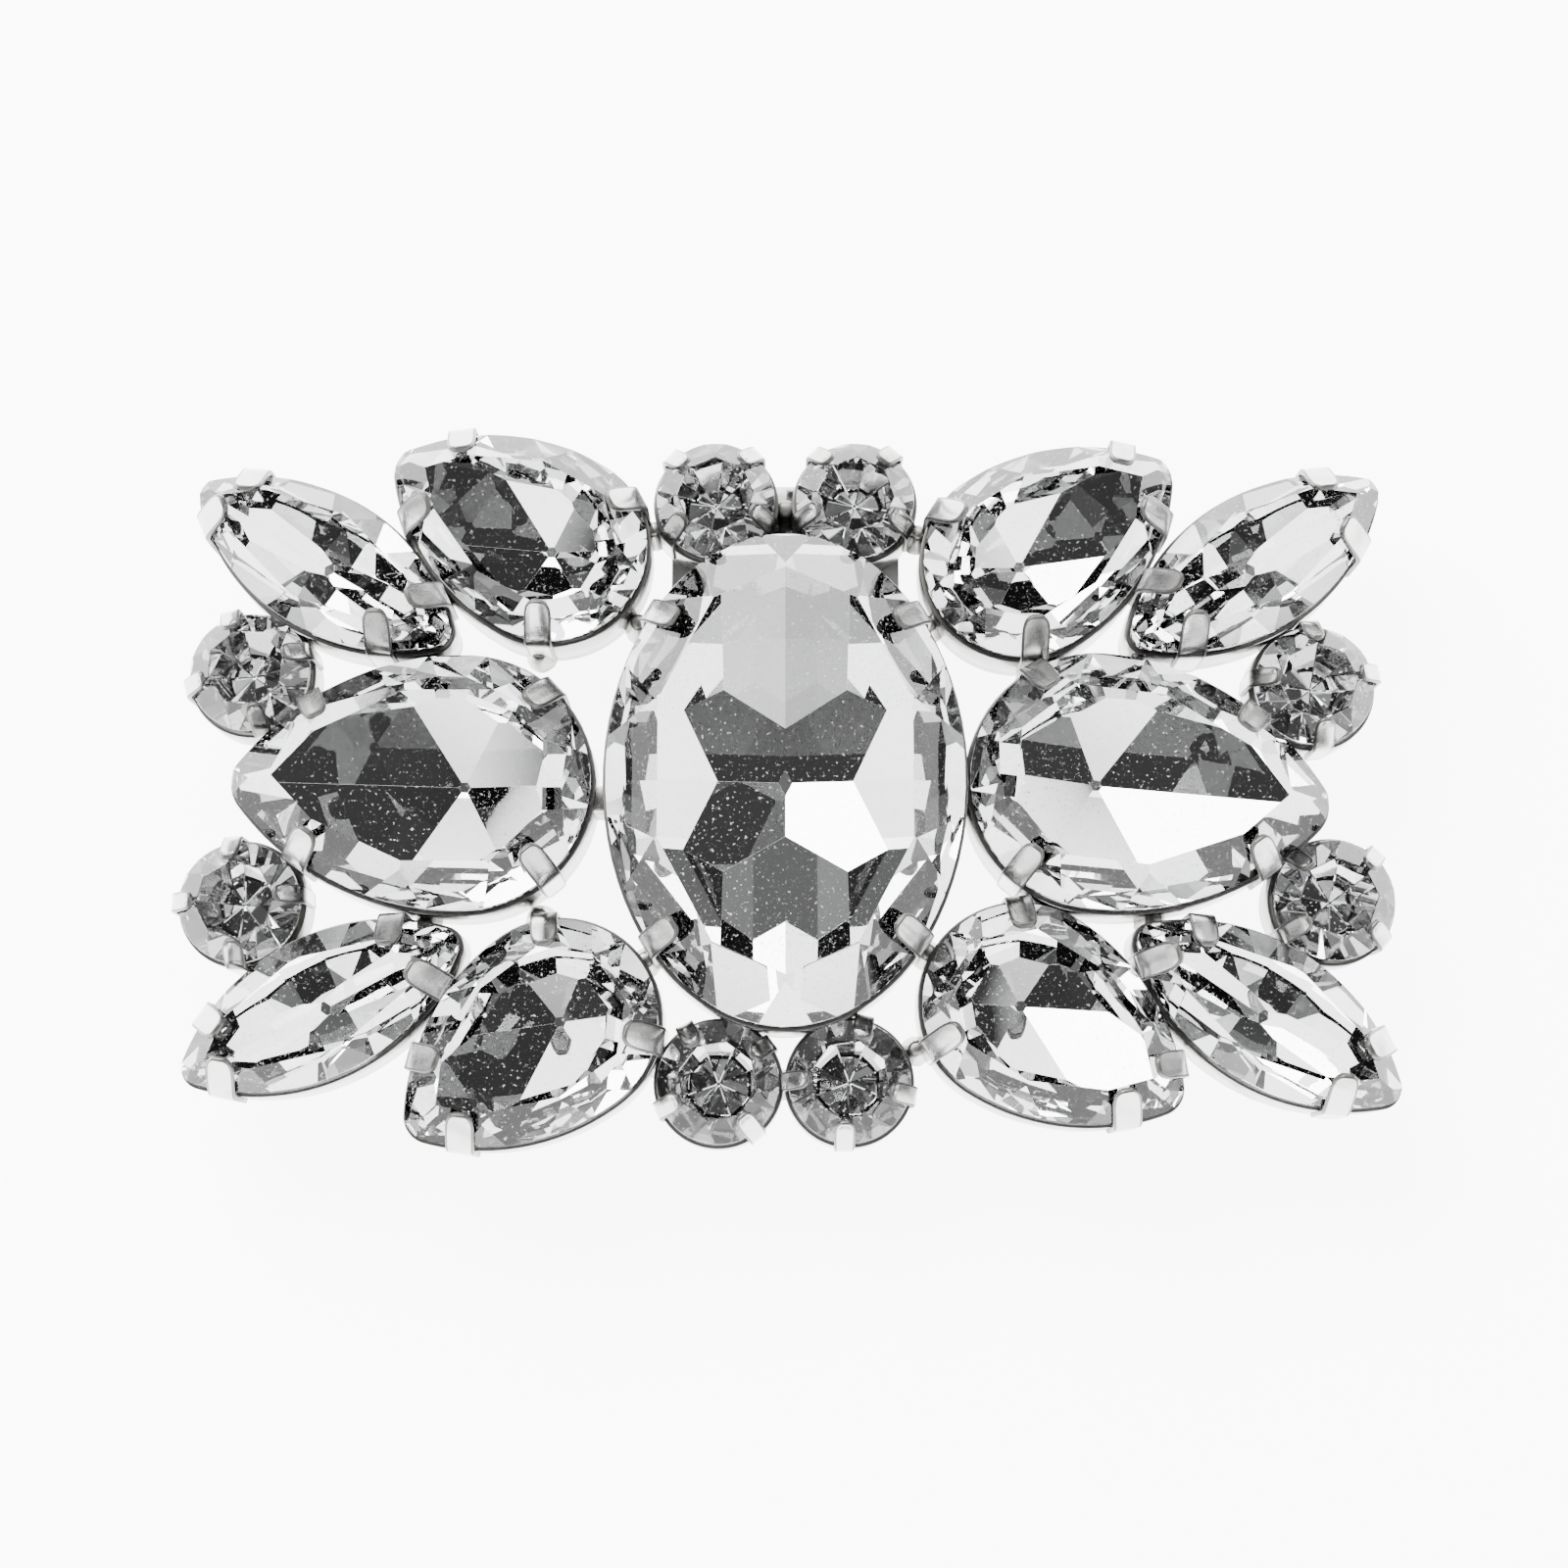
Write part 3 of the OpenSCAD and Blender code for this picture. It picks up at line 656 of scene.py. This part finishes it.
def makeHeap():
    # a cone drawn in at the top and rounded, with a wavy flank
    wide, high = solderLook["radius"], solderLook["height"]
    middle = layout["backZ"] + high / 2
    bpy.ops.mesh.primitive_cone_add(vertices=14, radius1=wide * mm, radius2=wide * 0.5 * mm,
                                    depth=high * mm, location=(0, 0, middle * mm))
    heap = active()
    applyPlace(heap)
    edit(heap)
    pick("face", lambda middle, normal: normal.z > 0.9)
    bpy.ops.mesh.inset(thickness=0.18 * mm, depth=0.1 * mm)
    pick("face", lambda middle, normal: abs(normal.z) < 0.8)
    bpy.ops.mesh.subdivide(number_cuts=2)
    leave()
    useModifier(heap, "SUBSURF", levels=1, render_levels=1)
    waves = bpy.data.textures.new("solderWaves", "CLOUDS")
    waves.noise_scale = 0.0008
    useModifier(heap, "DISPLACE", texture=waves, strength=0.12 * mm, mid_level=0.6)
    select(heap)
    bpy.ops.object.shade_smooth()
    heap.data.materials.append(solderFinish)
    return heap


heapForm = makeHeap()
heaps = []
for place in solderLook["heaps"]:
    heap = copyOf(heapForm, "solderHeap")
    size = rng.uniform(0.9, 1.0)
    turned = Matrix.Rotation(rng.uniform(0, 6), 4, "Z")
    heap.data.transform(Matrix.Diagonal((size, size, 1, 1)) @ turned)
    heaps.append(stand(heap, place, 0))
solder = join(heaps, "solderHeaps")
finishPiece(solder, "setting", "setting_frame")


# the bar between the oval and the left large pear
strutLook = {"width": 2.4, "long": 1.8, "height": 3.0, "waist": 0.55, "place": (-9.4, -0.8)}


def makeStrut():
    bpy.ops.mesh.primitive_cube_add(size=1, location=(0, 0, 0))
    bpy.ops.transform.resize(value=[strutLook[key] * mm for key in ("long", "width", "height")])
    strut = active()
    applyPlace(strut)
    edit(strut)
    for x in (-0.45, -0.15, 0.15, 0.45):
        bpy.ops.mesh.select_all(action="SELECT")
        bpy.ops.mesh.bisect(plane_co=(x * mm, 0, 0), plane_no=(1, 0, 0))
    pick("vert", lambda place, vert: abs(place.x) < 0.5)
    bpy.ops.transform.resize(value=(1, strutLook["waist"], 1))
    bpy.ops.mesh.select_all(action="SELECT")
    bpy.ops.mesh.bevel(offset=0.12 * mm, segments=2, affect="EDGES")
    leave()
    select(strut)
    bpy.ops.object.shade_smooth_by_angle(angle=math.radians(40))
    strut.data.materials.append(solderFinish)
    return strut


strut = stand(makeStrut(), strutLook["place"], 0, layout["backZ"] + strutLook["height"] / 2)
strut.name = strut.data.name = "ovalStrut"
finishPiece(strut, "setting", "setting_frame")
print("solder laid")


# the folded clip at the back
clipLook = {
    "sheet": 0.8, "slot": 1.4, "width": 12, "leaf": 22, "tongue": 23, "bendY": 15.4,
    "window": (0.1, 2.7, -1.6, 0.7),   # its left, right, near and far edge
    "end": 3.6,                        # how far the ridge begins from the tongue's end
    # steps along the end of the tongue, over its ridge: forwards, up
    "ridge": ((-0.3, 0.1), (-0.3, 0.25), (-0.3, 0), (-0.3, -0.25), (-0.3, -0.1), (-2.1, 0)),
}


def makeClip():
    c = clipLook
    full = 2 * c["sheet"] + c["slot"]
    half = c["width"] / 2
    bpy.ops.mesh.primitive_plane_add(size=1, location=(0, 0, 0))
    clip = active()
    edit(clip)
    form = bmesh.from_edit_mesh(clip.data)
    for vert in form.verts:
        y = 0 if vert.co.y > 0 else -c["leaf"]
        vert.co = Vector((math.copysign(half, vert.co.x), y, full)) * mm
    bmesh.update_edit_mesh(clip.data)
    left, right, near, far = c["window"]
    windowEdges = [((left, 0, 0), (1, 0, 0)), ((right, 0, 0), (1, 0, 0)), ((0, near, 0), (0, 1, 0))]
    for point, normal in windowEdges:
        bpy.ops.mesh.select_all(action="SELECT")
        bpy.ops.mesh.bisect(plane_co=Vector(point) * mm, plane_no=normal)
    # the bend, then the tongue that lies underneath
    pick("edge", lambda middle, edge: middle.y > -0.01)
    bpy.ops.mesh.spin(steps=12, angle=math.pi, center=(0, 0, full / 2 * mm), axis=(1, 0, 0))
    pick("edge", lambda middle, edge: abs(middle.z) < 0.01)
    for forwards, up in ((c["end"] - c["tongue"], 0), *c["ridge"]):
        step = (0, forwards * mm, up * mm)
        bpy.ops.mesh.extrude_region_move(TRANSFORM_OT_translate={"value": step})
    # the window, in the leaf and in the upper part of the bend
    for low, high, floor in ((near, far, full / 2), (0, far + 0.4, full * 0.75)):
        pick("face", lambda middle, normal: left < middle.x < right and low < middle.y < high
             and middle.z > floor)
        bpy.ops.mesh.delete(type="FACE")
    bpy.ops.mesh.select_all(action="SELECT")
    bpy.ops.mesh.remove_doubles(threshold=1e-6)
    bpy.ops.mesh.normals_make_consistent(inside=False)
    leave()
    return clip


clip = makeClip()
# the sheet grows towards the slot: the leaf downwards, the tongue upwards
top = max(clip.data.polygons, key=lambda face: face.center.z)
useModifier(clip, "SOLIDIFY", thickness=clipLook["sheet"] * mm,
            offset=-1 if top.normal.z > 0 else 1)
useModifier(clip, "BEVEL", width=0.12 * mm, segments=2, limit_method="ANGLE",
            angle_limit=math.radians(50))
select(clip)
bpy.ops.object.shade_smooth_by_angle(angle=math.radians(35))
clip.data.materials.append(clipFinish)
stand(clip, (0, clipLook["bendY"]), 0)
clip.name = clip.data.name = "shoeClip"
finishPiece(clip, "clip", "shoe_clip")
print("clip folded")

for form in (*stoneForms.values(), *clawForms.values(), *cupForms.values(), heapForm):
    bpy.data.objects.remove(form)

# floor, light and camera
bpy.ops.mesh.primitive_plane_add(size=3, location=(0, 0, 0))
ground = active()
ground.name = "floor"
ground.data.materials.append(makeFloor())


def direction(azimuth, rise):
    # from degrees round from +X and above the floor
    a, e = math.radians(azimuth), math.radians(rise)
    return Vector((math.cos(a) * math.cos(e), math.sin(a) * math.cos(e), math.sin(e)))


backLamp = {"azimuth": 125, "height": 42, "distance": 0.50, "size": (0.40, 0.24), "power": 6.0}
towards = direction(backLamp["azimuth"], backLamp["height"])
bpy.ops.object.light_add(type="AREA", location=towards * backLamp["distance"])
lamp = active()
lamp.name = "back"
lamp.data.shape = "RECTANGLE"
lamp.data.size, lamp.data.size_y = backLamp["size"]
lamp.data.energy = backLamp["power"]
lamp.rotation_euler = towards.to_track_quat("Z", "Y").to_euler()

world = bpy.data.worlds.new("studio")
bpy.context.scene.world = world
world.use_nodes = True
studio = {
    # brightness of the room by the height of a direction's z: white walls, dark overhead
    "stops": [(0.0, 1.0), (0.86, 1.0), (0.905, 0.25), (0.93, 0.008), (1.0, 0.008)],
    "strength": 4.5,
    # dark cards: azimuth, height, how wide they look in degrees, and their tone
    "cards": [(334, 44, 17, 0.01), (206, 44, 17, 0.01), (42, 28, 16, 0.01), (256, 34, 13, 0.22),
              (282, 34, 12, 0.35)],
    # faint lights in the dark overhead, in the same way, with their brightness
    "glows": [(29, 68, 8, 0.26), (151, 68, 8, 0.36), (90, 80, 6, 0.14)],
}
tree = world.node_tree
spot = tree.nodes.new("ShaderNodeTexCoord")
split = tree.nodes.new("ShaderNodeSeparateXYZ")
ramp = tree.nodes.new("ShaderNodeValToRGB")
while len(ramp.color_ramp.elements) < len(studio["stops"]):
    ramp.color_ramp.elements.new(0.5)
for element, (place, tone) in zip(ramp.color_ramp.elements, studio["stops"]):
    element.position, element.color = place, (tone, tone, tone, 1)
tree.links.new(spot.outputs["Generated"], split.inputs[0])
tree.links.new(split.outputs["Z"], ramp.inputs[0])


def patch(azimuth, rise, width):
    # 1 in the directions that lie within so many degrees of the one given, 0 elsewhere
    near = tree.nodes.new("ShaderNodeVectorMath")
    near.operation = "DOT_PRODUCT"
    tree.links.new(spot.outputs["Generated"], near.inputs[0])
    near.inputs[1].default_value = direction(azimuth, rise)
    inside = tree.nodes.new("ShaderNodeMapRange")
    inside.inputs["From Min"].default_value = math.cos(math.radians(width + 4))
    inside.inputs["From Max"].default_value = math.cos(math.radians(width - 2))
    tree.links.new(near.outputs["Value"], inside.inputs["Value"])
    return Value(tree, inside.outputs[0])


light = Value(tree, ramp.outputs[0]) * studio["strength"]
for azimuth, rise, width, tone in studio["cards"]:
    light = light * (1 - patch(azimuth, rise, width) * (1 - tone))
for azimuth, rise, width, tone in studio["glows"]:
    light = light + patch(azimuth, rise, width) * tone
tree.links.new(light.socket, tree.nodes["Background"].inputs["Strength"])
tree.nodes["Background"].inputs["Color"].default_value = (1, 1, 1, 1)

view = {"azimuth": 270, "elevation": 80, "distance": 130, "target": (0.0, 0.0, 6.8), "lens": 59.1}
backwards = direction(view["azimuth"], view["elevation"])
bpy.ops.object.camera_add(location=(Vector(view["target"]) + backwards * view["distance"]) * mm)
camera = active()
camera.rotation_euler = backwards.to_track_quat("Z", "Y").to_euler()
camera.data.lens = view["lens"]
camera.data.sensor_width = 36
camera.data.clip_start = 0.005
bpy.context.scene.camera = camera
